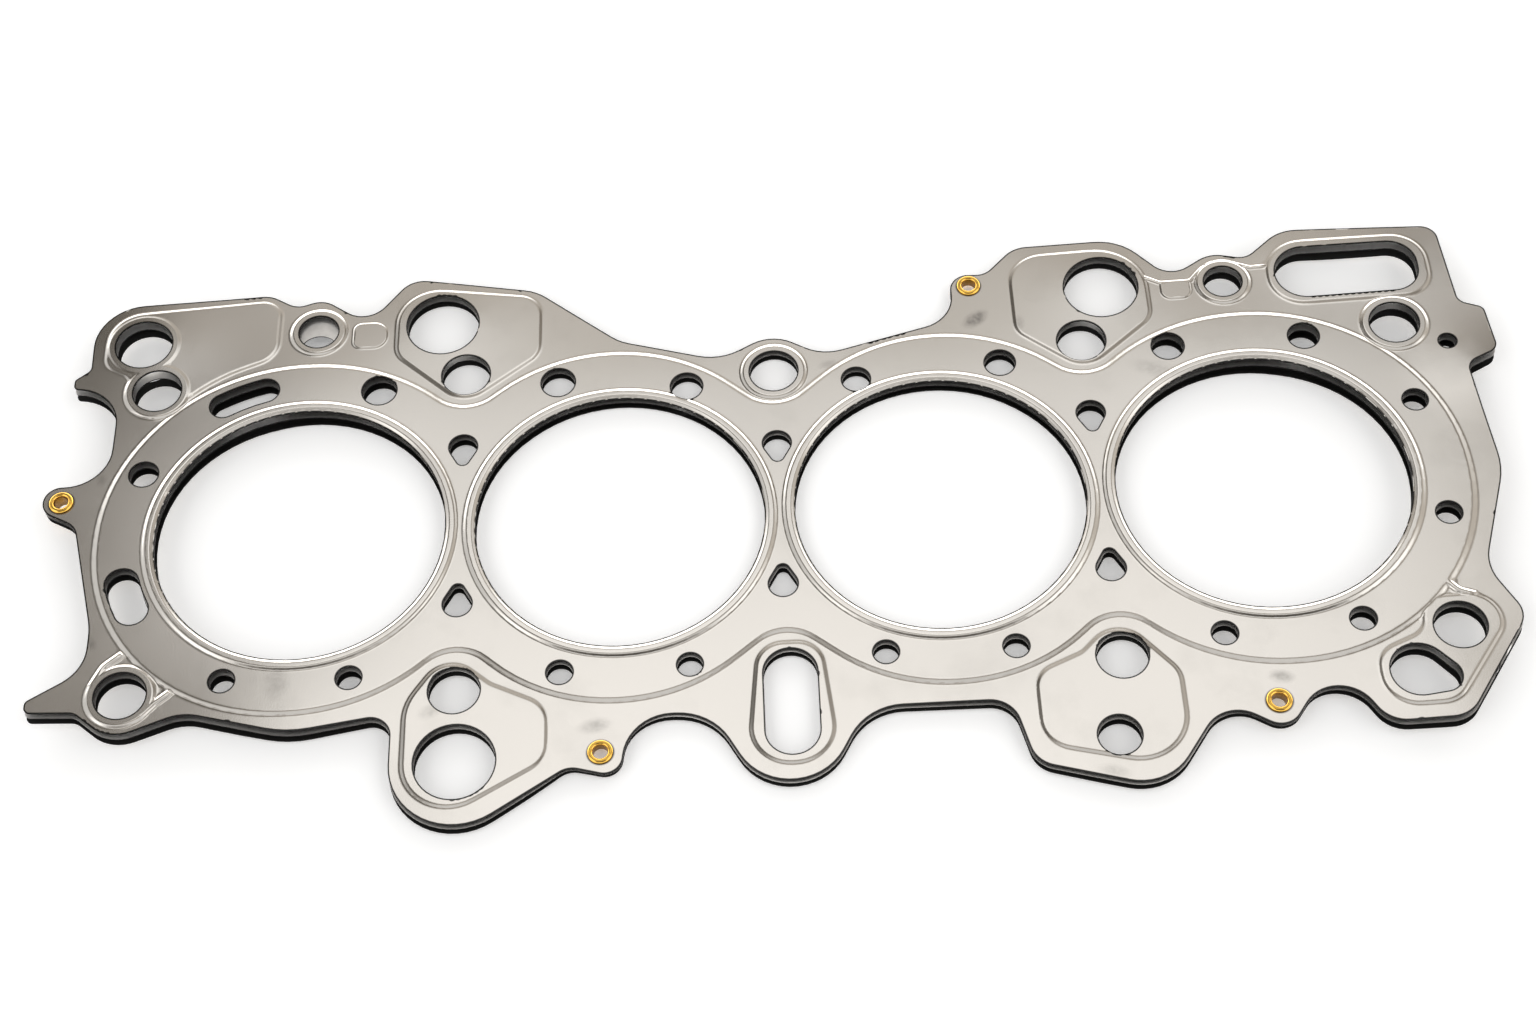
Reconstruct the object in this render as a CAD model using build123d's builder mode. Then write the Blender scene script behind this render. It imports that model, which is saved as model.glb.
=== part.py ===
"""Multi-layer steel cylinder head gasket for an in-line four-cylinder engine.

Two beaded steel sheets lie either side of a plain spacer sheet, and four
tubular eyelets hold the three together.  X runs along the row of cylinders,
+Y points to the rear of the engine and Z up.  The origin is the middle of
the row of bores, halfway up the stack, which is the same both ways up.
"""
from build123d import *
import os
from math import atan2, cos, degrees, radians, sin, tan

# ---- driving dimensions, in millimetres and degrees --------------------------

BORE_R = 40.75               # bore in the beaded sheets
BORE_BRIDGE = 8.5            # sheet left between two neighbouring bores
SPACER_BORE_CLEARANCE = 0.3  # the spacer's bore is wider by this much each side

SHEET_T = 0.3                # beaded sheets
SPACER_T = 0.4               # plain sheet between them
LAYER_GAP = 0.3              # the sheets spring this far apart

STEP_H = 0.45                # height of the step around the row of bores
STEP_RUN = 1.5               # width of its sloping flank
STEP_LAND = 17.25            # from a bore's edge out to the foot of the step
LIP_W = 0.5                  # flat lip between a bore and its bead
BORE_BEAD_H = 0.5            # bead around a bore: height over the stepped part
BORE_BEAD_W = 3.1            # width, foot to foot
BORE_BEAD_INNER_RUN = 0.5    # width of the steep flank next to the bore
BORE_BEAD_OUTER_RUN = 1.0    # width of the other flank
PANEL_H = 0.28               # panel raised around a port: height
PANEL_RUN = 1.1              # width of its sloping flank
RING_H = 0.45                # disc raised around a round hole: height
RING_RUN = 1.1               # width of its sloping flank
RING_LAND = 1.85             # from the hole's edge to that flank
BRANCH_H = 0.45              # short bead between a ring and the step: height
BRANCH_W = 2.3               # width, foot to foot
BRANCH_RUN = 0.7             # width of one sloping flank

BOLT_ROW_Y = 50.0            # end bolts, either side of the row of bores
MIDDLE_BOLT_OUT = 2.0        # second and fourth bolts lie this far outside the row
CENTRE_BOLT_IN = 2.0         # rear centre bolt lies this far inside it
CENTRE_SLOT_OUT = 1.4        # inner end of the front centre slot, outside it
CENTRE_SLOT_SIDE = 0.8       # the slot lies this far to the right of the middle
BOLT_HOLE_R = 7.0
CENTRE_SLOT_R = 7.3
CENTRE_SLOT_RUN = 17.2       # between the slot's two end centres

COOLANT_LAND = 9.85          # from a bore's edge out to its ring of coolant holes
WEB_HOLE_R = 4.0             # wide end of a drop-shaped hole between two bores
WEB_HOLE_TIP_R = 1.8
WEB_HOLE_RUN = 4.4           # between the centres of its two ends

SPACER_DRAIN_IN = 5.4        # the spacer covers the outer part of the rear left drain

EYELET_HOLE_R = 2.05         # through hole
EYELET_WALL = 0.45
EYELET_FIT = 0.05            # between the eyelet's barrel and the sheets
EYELET_COLLAR_R = 3.45
EYELET_COLLAR_H = 0.85       # collar above the upper sheet
EYELET_FOOT_H = 0.6          # rolled foot under the lower sheet
EYELET_ROUND = 0.4           # rounding of collar and foot

# ---- levels -------------------------------------------------------------------

SPACER_Z = -SPACER_T / 2                 # underside of the spacer
UPPER_Z = SPACER_T / 2 + LAYER_GAP       # underside of the upper sheet
UPPER_FACE = UPPER_Z + SHEET_T           # its flat top
LOWER_FACE = -UPPER_FACE                 # flat underside of the lower sheet
TOP_Z = UPPER_FACE + STEP_H + BORE_BEAD_H

# ---- where the features sit ---------------------------------------------------

BORE_PITCH = 2 * BORE_R + BORE_BRIDGE    # from one cylinder to the next
CYLINDER_X = [BORE_PITCH * step for step in (-1.5, -0.5, 0.5, 1.5)]
BOLT_X = [BORE_PITCH * step for step in (-2, -1, 0, 1, 2)]
CENTRE_SLOT_X = BOLT_X[2] + CENTRE_SLOT_SIDE


def rear(x, out, radius):
    """A corner or hole on the rear side, `out` from the row of rear bolts."""
    return (x, BOLT_ROW_Y + out, radius)


def front(x, out, radius):
    """A corner or hole on the front side, `out` from the row of front bolts."""
    return (x, -BOLT_ROW_Y - out, radius)


LEFT_EYELET = (BOLT_X[0] - 23.4, 12.5)
REAR_EYELET = (CYLINDER_X[2] + 14.0, BOLT_ROW_Y + 24.8)
FRONT_LEFT_EYELET = (CYLINDER_X[1] - 5.5, -BOLT_ROW_Y - 22.4)
FRONT_RIGHT_EYELET = (CYLINDER_X[3] - 5.7, -BOLT_ROW_Y - 18.6)
EYELETS = {
    "eyelet_left": LEFT_EYELET,
    "eyelet_rear": REAR_EYELET,
    "eyelet_front_left": FRONT_LEFT_EYELET,
    "eyelet_front_right": FRONT_RIGHT_EYELET,
}

BOLT_HOLES = [
    rear(BOLT_X[0], 0, BOLT_HOLE_R),
    rear(BOLT_X[1], MIDDLE_BOLT_OUT, BOLT_HOLE_R),
    rear(BOLT_X[2], -CENTRE_BOLT_IN, BOLT_HOLE_R),
    rear(BOLT_X[3], MIDDLE_BOLT_OUT, BOLT_HOLE_R),
    rear(BOLT_X[4], 0, BOLT_HOLE_R),
    front(BOLT_X[0], 0, BOLT_HOLE_R),
    front(BOLT_X[1], MIDDLE_BOLT_OUT, BOLT_HOLE_R),
    front(BOLT_X[3], MIDDLE_BOLT_OUT, BOLT_HOLE_R),
    front(BOLT_X[4], 0, BOLT_HOLE_R),
]
REAR_LEFT_PORT = rear(BOLT_X[0] - 5.5, 16.8, 8.3)
REAR_LEFT_DRAIN = rear(CYLINDER_X[0] + 0.8, 19.6, 5.8)
REAR_RIGHT_DRAIN = rear(CYLINDER_X[3] - 1.6, 19.5, 5.5)
ROUND_PORTS = [
    REAR_LEFT_PORT,
    rear(BOLT_X[1] - 7.4, MIDDLE_BOLT_OUT + 18.6, 10.6),
    rear(BOLT_X[3] + 7.7, MIDDLE_BOLT_OUT + 18.8, 10.8),
    REAR_RIGHT_DRAIN,
    rear(BOLT_X[4] + 13.8, -7.8, 2.5),
    front(BOLT_X[1] + 0.8, MIDDLE_BOLT_OUT + 21.4, 10.9),
    front(BOLT_X[3] - 3.4, MIDDLE_BOLT_OUT + 23.7, 5.8),
]
REAR_RIGHT_SLOT = [
    rear(BOLT_X[4] - 31.1, 30.0, 9.0),
    rear(BOLT_X[4] + 10.1, 29.2, 8.0),
    rear(BOLT_X[4] + 10.1, 11.7, 7.5),
    rear(BOLT_X[4] - 31.1, 11.7, 9.0),
]
FRONT_RIGHT_PORT_WIDE = front(BOLT_X[4] - 13.0, 12.4, 7.6)
FRONT_RIGHT_PORT_NARROW = front(BOLT_X[4] - 7.1, 14.7, 4.7)

# Round coolant holes: (cylinder, angle around it, hole radius, shift inwards).
COOLANT_HOLES = [
    (0, 155.3, 4.1, 0.0), (0, 67.2, 5.0, -0.8), (0, -70.8, 3.5, 0.8), (0, -111.1, 3.5, 0.6),
    (1, 110.6, 4.9, -0.3), (1, 66.1, 4.6, 2.4), (1, -68.4, 3.5, -0.5), (1, -109.0, 3.6, -0.2),
    (2, 116.1, 4.1, 2.4), (2, 65.7, 4.4, 0.2), (2, -70.3, 3.5, 0.2), (2, -111.1, 3.5, 0.3),
    (3, 113.3, 4.6, -1.2), (3, 68.7, 4.4, -0.5), (3, 26.3, 3.5, -0.8), (3, -17.2, 3.5, -0.2),
    (3, -66.5, 3.5, 0.4), (3, -109.8, 3.5, 0.1),
]
# Long coolant holes along the ring: (cylinder, first angle, last angle, half width).
COOLANT_SLOTS = [(0, 105.3, 119.7, 4.0), (0, 197.0, 207.6, 4.6)]
# Drop-shaped holes, point towards the bores' line: (bolt column, rear or front y).
WEB_HOLES = [(1, 26.6), (2, 22.8), (3, 26.5), (1, -25.2), (2, -23.8), (3, -25.0)]

# ---- outline of all three sheets: corners with their radii, clockwise -----------

EAR_R = 5.3                  # outline around the left and rear eyelets
OUTLINE = [
    # left end: eyelet ear, waist and rear tab
    (LEFT_EYELET[0] - EAR_R, LEFT_EYELET[1] - 2.8, EAR_R),
    (LEFT_EYELET[0] - EAR_R, LEFT_EYELET[1] + EAR_R, EAR_R),
    (BOLT_X[0] - 11.0, LEFT_EYELET[1] + EAR_R, 13.0),
    rear(BOLT_X[0] - 11.0, 0.8, 13.0),
    rear(BOLT_X[0] - 24.6, 1.7, 1.5),
    rear(BOLT_X[0] - 24.6, 5.0, 1.5),
    rear(BOLT_X[0] - 20.2, 8.4, 2.5),
    # rear edge, left to right
    rear(BOLT_X[0] - 20.8, 30.7, 14.5),
    rear(CYLINDER_X[0] - 14.5, 34.0, 8.0),
    rear(CYLINDER_X[0] - 6.5, 29.2, 6.0),
    rear(CYLINDER_X[0] + 1.5, 31.9, 7.0),
    rear(BOLT_X[1] - 29.8, 22.2, 8.0),
    rear(BOLT_X[1] - 17.4, 38.2, 8.0),
    rear(BOLT_X[1] + 20.1, 31.8, 14.0),
    rear(CYLINDER_X[1], 11.7, 14.0),
    rear(BOLT_X[2] - 15.7, 3.3, 16.0),
    rear(BOLT_X[2], 11.7, 12.0),
    rear(BOLT_X[2] + 14.5, 3.1, 14.0),
    (REAR_EYELET[0] - EAR_R - 0.2, BOLT_ROW_Y + 12.9, 11.0),
    (REAR_EYELET[0] - EAR_R - 0.2, REAR_EYELET[1] + 4.6, EAR_R),
    (REAR_EYELET[0] + 5.1, REAR_EYELET[1] + 3.8, 6.0),
    rear(BOLT_X[3] - 16.5, 38.0, 9.0),
    rear(BOLT_X[3] + 14.8, 38.0, 16.0),
    rear(BOLT_X[3] + 28.3, 22.8, 7.5),
    rear(CYLINDER_X[3] - 4.0, 30.5, 9.0),
    rear(CYLINDER_X[3] + 6.3, 27.6, 5.5),
    rear(BOLT_X[4] - 27.5, 37.0, 12.0),
    # right end: rear corner, tab and waist
    rear(BOLT_X[4] + 17.6, 34.0, 5.0),
    rear(BOLT_X[4] + 19.5, 6.0, 3.5),
    rear(BOLT_X[4] + 26.2, 3.2, 2.5),
    rear(BOLT_X[4] + 27.4, -11.8, 3.5),
    rear(BOLT_X[4] + 18.0, -16.0, 4.0),
    (BOLT_X[4] + 20.9, -1.5, 25.0),
    front(BOLT_X[4] + 10.4, -17.5, 13.0),
    # front edge, right to left
    front(BOLT_X[4] + 18.2, -2.0, 7.0),
    front(BOLT_X[4] - 2.1, 26.8, 9.0),
    front(BOLT_X[4] - 23.2, 26.9, 9.0),
    front(CYLINDER_X[3] + 10.6, 7.4, 9.9),
    (FRONT_RIGHT_EYELET[0] + 1.5, FRONT_RIGHT_EYELET[1] - 8.9, 6.0),
    front(BOLT_X[3] + 25.0, 17.5, 9.4),
    front(BOLT_X[3] + 7.6, 41.7, 15.0),
    front(BOLT_X[3] - 26.0, 32.0, 8.0),
    front(BOLT_X[3] - 30.7, 13.4, 8.0),
    front(BOLT_X[2] + 21.0, 12.9, 16.0),
    front(BOLT_X[2] + 0.3, 49.9, 15.9),
    front(BOLT_X[2] - 21.0, 12.0, 16.0),
    (FRONT_LEFT_EYELET[0] + 7.6, -BOLT_ROW_Y - 12.0, 13.0),
    (FRONT_LEFT_EYELET[0] + 5.3, FRONT_LEFT_EYELET[1] - 7.6, 5.0),
    (FRONT_LEFT_EYELET[0] - 8.6, FRONT_LEFT_EYELET[1] - 3.9, 6.0),
    front(BOLT_X[1] - 16.8, 56.6, 18.2),
    front(BOLT_X[1] - 16.8, 8.4, 5.5),
    front(CYLINDER_X[0] + 0.5, 12.9, 30.0),
    front(BOLT_X[0] + 17.0, 5.8, 14.0),
    front(BOLT_X[0] - 1.8, 13.1, 11.0),
    front(BOLT_X[0] - 12.0, 4.7, 4.0),
    # left end: front tab and waist
    front(BOLT_X[0] - 25.6, 4.3, 1.8),
    front(BOLT_X[0] - 25.6, 0.8, 1.8),
    front(BOLT_X[0] - 10.8, -8.3, 12.0),
    front(BOLT_X[0] - 10.8, -21.2, 25.0),
    (LEFT_EYELET[0] + 4.6, LEFT_EYELET[1] - 7.8, 6.0),
]

# ---- step that follows the row of cylinders ------------------------------------

STEP_R = BORE_R + STEP_LAND
STEP_DIP_R = 11.5            # the step turns around a bolt hole on this radius
STEP_DIP_DROP = 13.9         # corner of a rear dip, inside its bolt hole
STEP_DIP_DROP_FRONT = 15.6
STEP_SHOULDER = 24.0         # from a bolt column to where the step turns down to it
STEP_SHOULDER_CENTRE = 27.5


def step_side(side, drop, middle_out, centre_out):
    """Corners of the step along one side, left to right; side is 1 rear, -1 front."""
    outs = (middle_out, centre_out, middle_out)
    shoulders = (STEP_SHOULDER, STEP_SHOULDER_CENTRE, STEP_SHOULDER)
    corners = []
    for x, out, shoulder in zip(BOLT_X[1:4], outs, shoulders):
        corners.append((x - shoulder, side * STEP_R, STEP_R))
        corners.append((x, side * (BOLT_ROW_Y + out - drop), STEP_DIP_R))
        corners.append((x + shoulder, side * STEP_R, STEP_R))
    return corners


REAR_STEP = step_side(1, STEP_DIP_DROP, MIDDLE_BOLT_OUT, -CENTRE_BOLT_IN)
FRONT_STEP = step_side(-1, STEP_DIP_DROP_FRONT, MIDDLE_BOLT_OUT, CENTRE_SLOT_OUT)
STEP = [
    (CYLINDER_X[0] - STEP_R, STEP_R, STEP_R),
    *REAR_STEP,
    (CYLINDER_X[3] + STEP_R, STEP_R, STEP_R),
    (CYLINDER_X[3] + STEP_R, -STEP_R, STEP_R),
    *reversed(FRONT_STEP),
    (CYLINDER_X[0] - STEP_R, -STEP_R, STEP_R),
]

# ---- raised discs, panels and lines around ports and bolt holes ------------------

RINGED_HOLES = [
    BOLT_HOLES[0], BOLT_HOLES[2], BOLT_HOLES[4], BOLT_HOLES[5],
    REAR_LEFT_PORT, REAR_LEFT_DRAIN, REAR_RIGHT_DRAIN,
]
# Raised panels, along the middle of the flank: corners with their radii, clockwise.
PANELS = [
    [   # rear left plate
        rear(BOLT_X[0] - 16.4, 27.6, 10.5),
        rear(CYLINDER_X[0] - 10.8, 32.2, 6.0),
        rear(CYLINDER_X[0] - 10.8, 11.0, 8.0),
        rear(BOLT_X[0] + 15.0, 3.4, 50.0),
        rear(BOLT_X[0] + 2.4, -10.0, 6.0),
        rear(BOLT_X[0] - 8.6, -8.4, 8.0),
        rear(BOLT_X[0] - 8.4, 5.0, 4.0),
        rear(BOLT_X[0] - 16.4, 9.4, 5.0),
    ],
    [   # rear port and second bolt
        rear(BOLT_X[1] - 21.0, 35.0, 12.0),
        rear(BOLT_X[1] + 21.6, 29.4, 7.0),
        rear(BOLT_X[1] + 21.6, 8.4, 7.0),
        rear(BOLT_X[1] - 0.3, -8.2, 8.2),
        rear(BOLT_X[1] - 21.0, 10.1, 7.0),
    ],
    [   # rear port and fourth bolt
        rear(BOLT_X[3] - 18.6, 34.4, 10.0),
        rear(BOLT_X[3] + 21.2, 34.7, 15.0),
        rear(BOLT_X[3] + 21.2, 8.6, 7.0),
        rear(BOLT_X[3] + 0.3, -8.2, 8.2),
        rear(BOLT_X[3] - 18.6, 7.1, 6.0),
    ],
    [   # long rear slot
        rear(BOLT_X[4] - 33.3, 32.6, 11.0),
        rear(BOLT_X[4] + 13.2, 31.6, 10.0),
        rear(BOLT_X[4] + 13.2, 9.5, 8.0),
        rear(BOLT_X[4] - 33.3, 9.5, 10.0),
    ],
    [   # front right bolt and port
        front(BOLT_X[4] - 8.6, -9.4, 7.0),
        front(BOLT_X[4] + 11.2, -9.4, 9.0),
        front(BOLT_X[4] + 11.2, 1.4, 8.0),
        front(BOLT_X[4] - 4.4, 22.4, 8.0),
        front(BOLT_X[4] - 23.0, 22.4, 9.0),
        front(BOLT_X[4] - 23.0, 6.4, 7.0),
        front(BOLT_X[4] - 9.6, 1.0, 6.0),
    ],
    [   # front port and fourth bolt
        front(BOLT_X[3] - 0.2, -9.8, 8.5),
        front(BOLT_X[3] + 14.8, 7.9, 8.0),
        front(BOLT_X[3] + 14.8, 36.6, 13.0),
        front(BOLT_X[3] - 23.5, 26.9, 9.0),
        front(BOLT_X[3] - 23.5, 5.9, 7.0),
        front(BOLT_X[3] - 10.6, 0.4, 6.0),
    ],
    [   # front centre slot
        front(CENTRE_SLOT_X - 8.5, -7.9, 7.5),
        front(CENTRE_SLOT_X + 8.5, -7.9, 7.5),
        front(CENTRE_SLOT_X + 12.2, 28.4, 10.6),
        front(CENTRE_SLOT_X - 12.2, 28.4, 10.6),
    ],
    [   # front port and second bolt
        front(BOLT_X[1] - 2.5, -9.7, 8.0),
        front(BOLT_X[1] + 9.6, 0.4, 8.0),
        front(BOLT_X[1] + 25.0, 7.7, 8.0),
        front(BOLT_X[1] + 25.0, 23.9, 8.0),
        front(BOLT_X[1] - 13.3, 45.9, 13.0),
        front(BOLT_X[1] - 13.3, 5.9, 15.0),
    ],
]
# Short beads that run from a ring or loop into the step: start, through, end.
BRANCH_TURN_R = 5.0
BRANCH_BEADS = [
    [front(BOLT_X[0] - 8.3, -3.0, 0), front(BOLT_X[0] - 5.4, -9.2, 0),
     front(BOLT_X[0] - 0.6, -13.2, 0)],
    [front(BOLT_X[0] + 5.5, 6.9, 0), front(BOLT_X[0] + 9.3, 2.6, 0),
     front(BOLT_X[0] + 13.6, -0.9, 0)],
    [front(BOLT_X[4] + 6.0, -8.8, 0), front(BOLT_X[4] + 1.4, -10.6, 0),
     front(BOLT_X[4] - 1.6, -14.6, 0)],
]

# Faint raised lines: an open line over the rear right drain, and two closed pads.
FINE_BEAD_W = 1.2
FINE_BEAD_H = 0.2
FINE_BEAD_TAPER = 45.0
FINE_TURN_R = 1.5
FINE_LINES = [
    [rear(CYLINDER_X[3] - 24.4, 23.4, 0), rear(CYLINDER_X[3] - 19.8, 20.8, 0),
     rear(CYLINDER_X[3] - 11.0, 20.8, 0), rear(CYLINDER_X[3] - 7.6, 24.6, 0),
     rear(CYLINDER_X[3] - 4.6, 26.6, 0)],
    [rear(CYLINDER_X[3] + 3.2, 25.8, 0), rear(CYLINDER_X[3] + 7.0, 24.0, 0),
     rear(CYLINDER_X[3] + 11.7, 24.2, 0)],
]
FINE_PADS = [
    [rear(BOLT_X[1] - 33.4, 21.8, 2.0), rear(BOLT_X[1] - 24.4, 21.8, 3.5),
     rear(BOLT_X[1] - 24.4, 13.6, 3.5), rear(BOLT_X[1] - 33.4, 13.6, 2.0)],
    [rear(BOLT_X[3] + 25.6, 20.4, 0.6), rear(BOLT_X[3] + 33.4, 20.4, 0.6),
     rear(BOLT_X[3] + 33.4, 15.2, 2.5), rear(BOLT_X[3] + 25.6, 15.2, 2.5)],
]

# ---- drawing helpers ----------------------------------------------------------------


def rounded_loop(corners):
    """Draw a closed line through the corners, rounding each with its own radius.

    Where two roundings would meet on a short side, both give way in proportion.
    """
    points = [Vector(x, y) for x, y, _ in corners]
    count = len(points)
    sides = [(points[(i + 1) % count] - points[i]) for i in range(count)]
    turns = [radians(sides[i - 1].get_angle(sides[i])) for i in range(count)]
    reaches = [corners[i][2] * tan(turns[i] / 2) for i in range(count)]
    room = [sides[i].length / (reaches[i] + reaches[(i + 1) % count]) for i in range(count)]
    reaches = [reaches[i] * min(1, 0.99 * room[i - 1], 0.99 * room[i]) for i in range(count)]
    for i in range(count):
        before = points[i] - sides[i - 1].normalized() * reaches[i]
        after = points[i] + sides[i].normalized() * reaches[i]
        radius = reaches[i] / tan(turns[i] / 2)
        inward = (before + after) * 0.5 - points[i]
        depth = radius / cos(turns[i] / 2) - radius
        middle = points[i] + inward.normalized() * depth
        ThreePointArc(before, middle, after)
        following = (i + 1) % count
        Line(after, points[following] - sides[i].normalized() * reaches[following])


def on_ring(cylinder, angle, radius):
    """A point at the given angle and radius around a cylinder."""
    x = CYLINDER_X[cylinder] + radius * cos(radians(angle))
    return (x, radius * sin(radians(angle)))


# ---- plan shapes shared by the sheets ---------------------------------------------------

with BuildSketch() as blank:
    with BuildLine():
        rounded_loop(OUTLINE)
    make_face()

with BuildSketch() as openings:
    for hole_x, hole_y, hole_r in BOLT_HOLES + ROUND_PORTS:
        with Locations((hole_x, hole_y)):
            Circle(hole_r)
    with Locations((CENTRE_SLOT_X, -BOLT_ROW_Y - CENTRE_SLOT_OUT - CENTRE_SLOT_RUN / 2)):
        SlotCenterToCenter(CENTRE_SLOT_RUN, 2 * CENTRE_SLOT_R, rotation=90)
    for cylinder, angle, hole_r, shift in COOLANT_HOLES:
        with Locations(on_ring(cylinder, angle, BORE_R + COOLANT_LAND - shift)):
            Circle(hole_r)
    for cylinder, first, last, half_width in COOLANT_SLOTS:
        with Locations((CYLINDER_X[cylinder], 0)):
            SlotArc(CenterArc((0, 0), BORE_R + COOLANT_LAND, first, last - first), 2 * half_width)
    for column, hole_y in WEB_HOLES:
        inward = -WEB_HOLE_RUN if hole_y > 0 else WEB_HOLE_RUN
        with BuildSketch(mode=Mode.PRIVATE) as drop:
            with Locations((BOLT_X[column], hole_y)):
                Circle(WEB_HOLE_R)
            with Locations((BOLT_X[column], hole_y + inward)):
                Circle(WEB_HOLE_TIP_R)
            make_hull()
        add(drop.sketch)
    with BuildSketch(mode=Mode.PRIVATE) as front_right_port:
        for hole_x, hole_y, hole_r in (FRONT_RIGHT_PORT_WIDE, FRONT_RIGHT_PORT_NARROW):
            with Locations((hole_x, hole_y)):
                Circle(hole_r)
        make_hull()
    add(front_right_port.sketch)
    with BuildLine():
        rounded_loop(REAR_RIGHT_SLOT)
    make_face()
    with Locations(*EYELETS.values()):
        Circle(EYELET_HOLE_R + EYELET_WALL + EYELET_FIT)

with BuildSketch() as left_drain:
    with Locations(REAR_LEFT_DRAIN[:2]):
        Circle(REAR_LEFT_DRAIN[2])

with BuildSketch() as bores:
    with Locations(*[(x, 0) for x in CYLINDER_X]):
        Circle(BORE_R)

with BuildSketch() as spacer_bores:
    with Locations(*[(x, 0) for x in CYLINDER_X]):
        Circle(BORE_R + SPACER_BORE_CLEARANCE)

# ---- relief pressed into the beaded sheets: a thick plate with the beads on it ------------

BRANCH_TAPER = degrees(atan2(BRANCH_RUN, BRANCH_H))
BEAD_INNER_R = BORE_R + LIP_W
BEAD_OUTER_R = BEAD_INNER_R + BORE_BEAD_W
PLATE_T = 4 * SHEET_T
PLATE_X = 2.6 * BORE_PITCH
PLATE_Y = 1.2 * BORE_PITCH


with BuildPart() as relief:
    for panel in PANELS:
        with BuildSketch():
            with BuildLine():
                rounded_loop(panel)
            make_face()
            offset(amount=PANEL_RUN / 2)
        with BuildSketch(Plane.XY.offset(PANEL_H)):
            with BuildLine():
                rounded_loop(panel)
            make_face()
            offset(amount=-PANEL_RUN / 2)
        loft(ruled=True)
    for hole_x, hole_y, hole_r in RINGED_HOLES:
        crest_r = hole_r + RING_LAND
        with Locations((hole_x, hole_y)):
            Cone(crest_r + RING_RUN, crest_r, RING_H, align=(Align.CENTER, Align.CENTER, Align.MIN))
    for branch in BRANCH_BEADS:
        with BuildSketch():
            with BuildLine():
                FilletPolyline(*[(x, y) for x, y, _ in branch], radius=BRANCH_TURN_R)
            trace(line_width=BRANCH_W)
        extrude(amount=BRANCH_H, taper=BRANCH_TAPER)
    for line in FINE_LINES:
        with BuildSketch():
            with BuildLine():
                FilletPolyline(*[(x, y) for x, y, _ in line], radius=FINE_TURN_R)
            trace(line_width=FINE_BEAD_W)
        extrude(amount=FINE_BEAD_H, taper=FINE_BEAD_TAPER)
    for pad in FINE_PADS:
        with BuildSketch():
            with BuildLine():
                rounded_loop(pad)
            make_face()
            offset(amount=FINE_BEAD_W / 2)
        extrude(amount=FINE_BEAD_H, taper=FINE_BEAD_TAPER)
    with BuildSketch():
        with BuildLine():
            rounded_loop(STEP)
        make_face()
    with BuildSketch(Plane.XY.offset(STEP_H)):
        with BuildLine():
            rounded_loop(STEP)
        make_face()
        offset(amount=-STEP_RUN)
    loft(ruled=True)
    with BuildPart(mode=Mode.PRIVATE) as bore_bead:
        with BuildSketch(Plane.XZ):
            with BuildLine():
                Polyline(
                    (BEAD_INNER_R, 0),
                    (BEAD_INNER_R, STEP_H),
                    (BEAD_INNER_R + BORE_BEAD_INNER_RUN, STEP_H + BORE_BEAD_H),
                    (BEAD_OUTER_R - BORE_BEAD_OUTER_RUN, STEP_H + BORE_BEAD_H),
                    (BEAD_OUTER_R, STEP_H),
                    (BEAD_OUTER_R, 0),
                    close=True,
                )
            make_face()
        revolve(axis=Axis.Z)
    with Locations(*[(x, 0) for x in CYLINDER_X]):
        add(bore_bead.part)
    with Locations((0, 0, -PLATE_T / 2)):
        Box(2 * PLATE_X, 2 * PLATE_Y, PLATE_T)

# ---- the three sheets -----------------------------------------------------------------------

with BuildPart() as upper_sheet:
    add(relief.part.moved(Location((0, 0, UPPER_FACE))))
    add(relief.part.moved(Location((0, 0, UPPER_Z))), mode=Mode.SUBTRACT)
    with BuildSketch(Plane.XY.offset(UPPER_Z)):
        add(blank.sketch)
        add(openings.sketch, mode=Mode.SUBTRACT)
        add(left_drain.sketch, mode=Mode.SUBTRACT)
        add(bores.sketch, mode=Mode.SUBTRACT)
    extrude(amount=TOP_Z - UPPER_Z + SHEET_T, mode=Mode.INTERSECT)

with BuildPart() as lower_sheet:
    mirror(upper_sheet.part, about=Plane.XY)

with BuildPart() as spacer_sheet:
    with BuildSketch(Plane.XY.offset(SPACER_Z)):
        add(blank.sketch)
        add(openings.sketch, mode=Mode.SUBTRACT)
        add(left_drain.sketch.moved(Location((0, -SPACER_DRAIN_IN))), mode=Mode.SUBTRACT)
        add(spacer_bores.sketch, mode=Mode.SUBTRACT)
    extrude(amount=SPACER_T)

upper_sheet.part.label = "upper_beaded_sheet"
lower_sheet.part.label = "lower_beaded_sheet"
spacer_sheet.part.label = "spacer_sheet"

# ---- eyelets: a tube with a flat collar above and a rolled foot below ------------------------

BARREL_R = EYELET_HOLE_R + EYELET_WALL
FOOT_Z = LOWER_FACE - EYELET_FOOT_H

os.makedirs("parts", exist_ok=True)
export_step(upper_sheet.part, "parts/upper_beaded_sheet.step")
export_step(lower_sheet.part, "parts/lower_beaded_sheet.step")
export_step(spacer_sheet.part, "parts/spacer_sheet.step")

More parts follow.
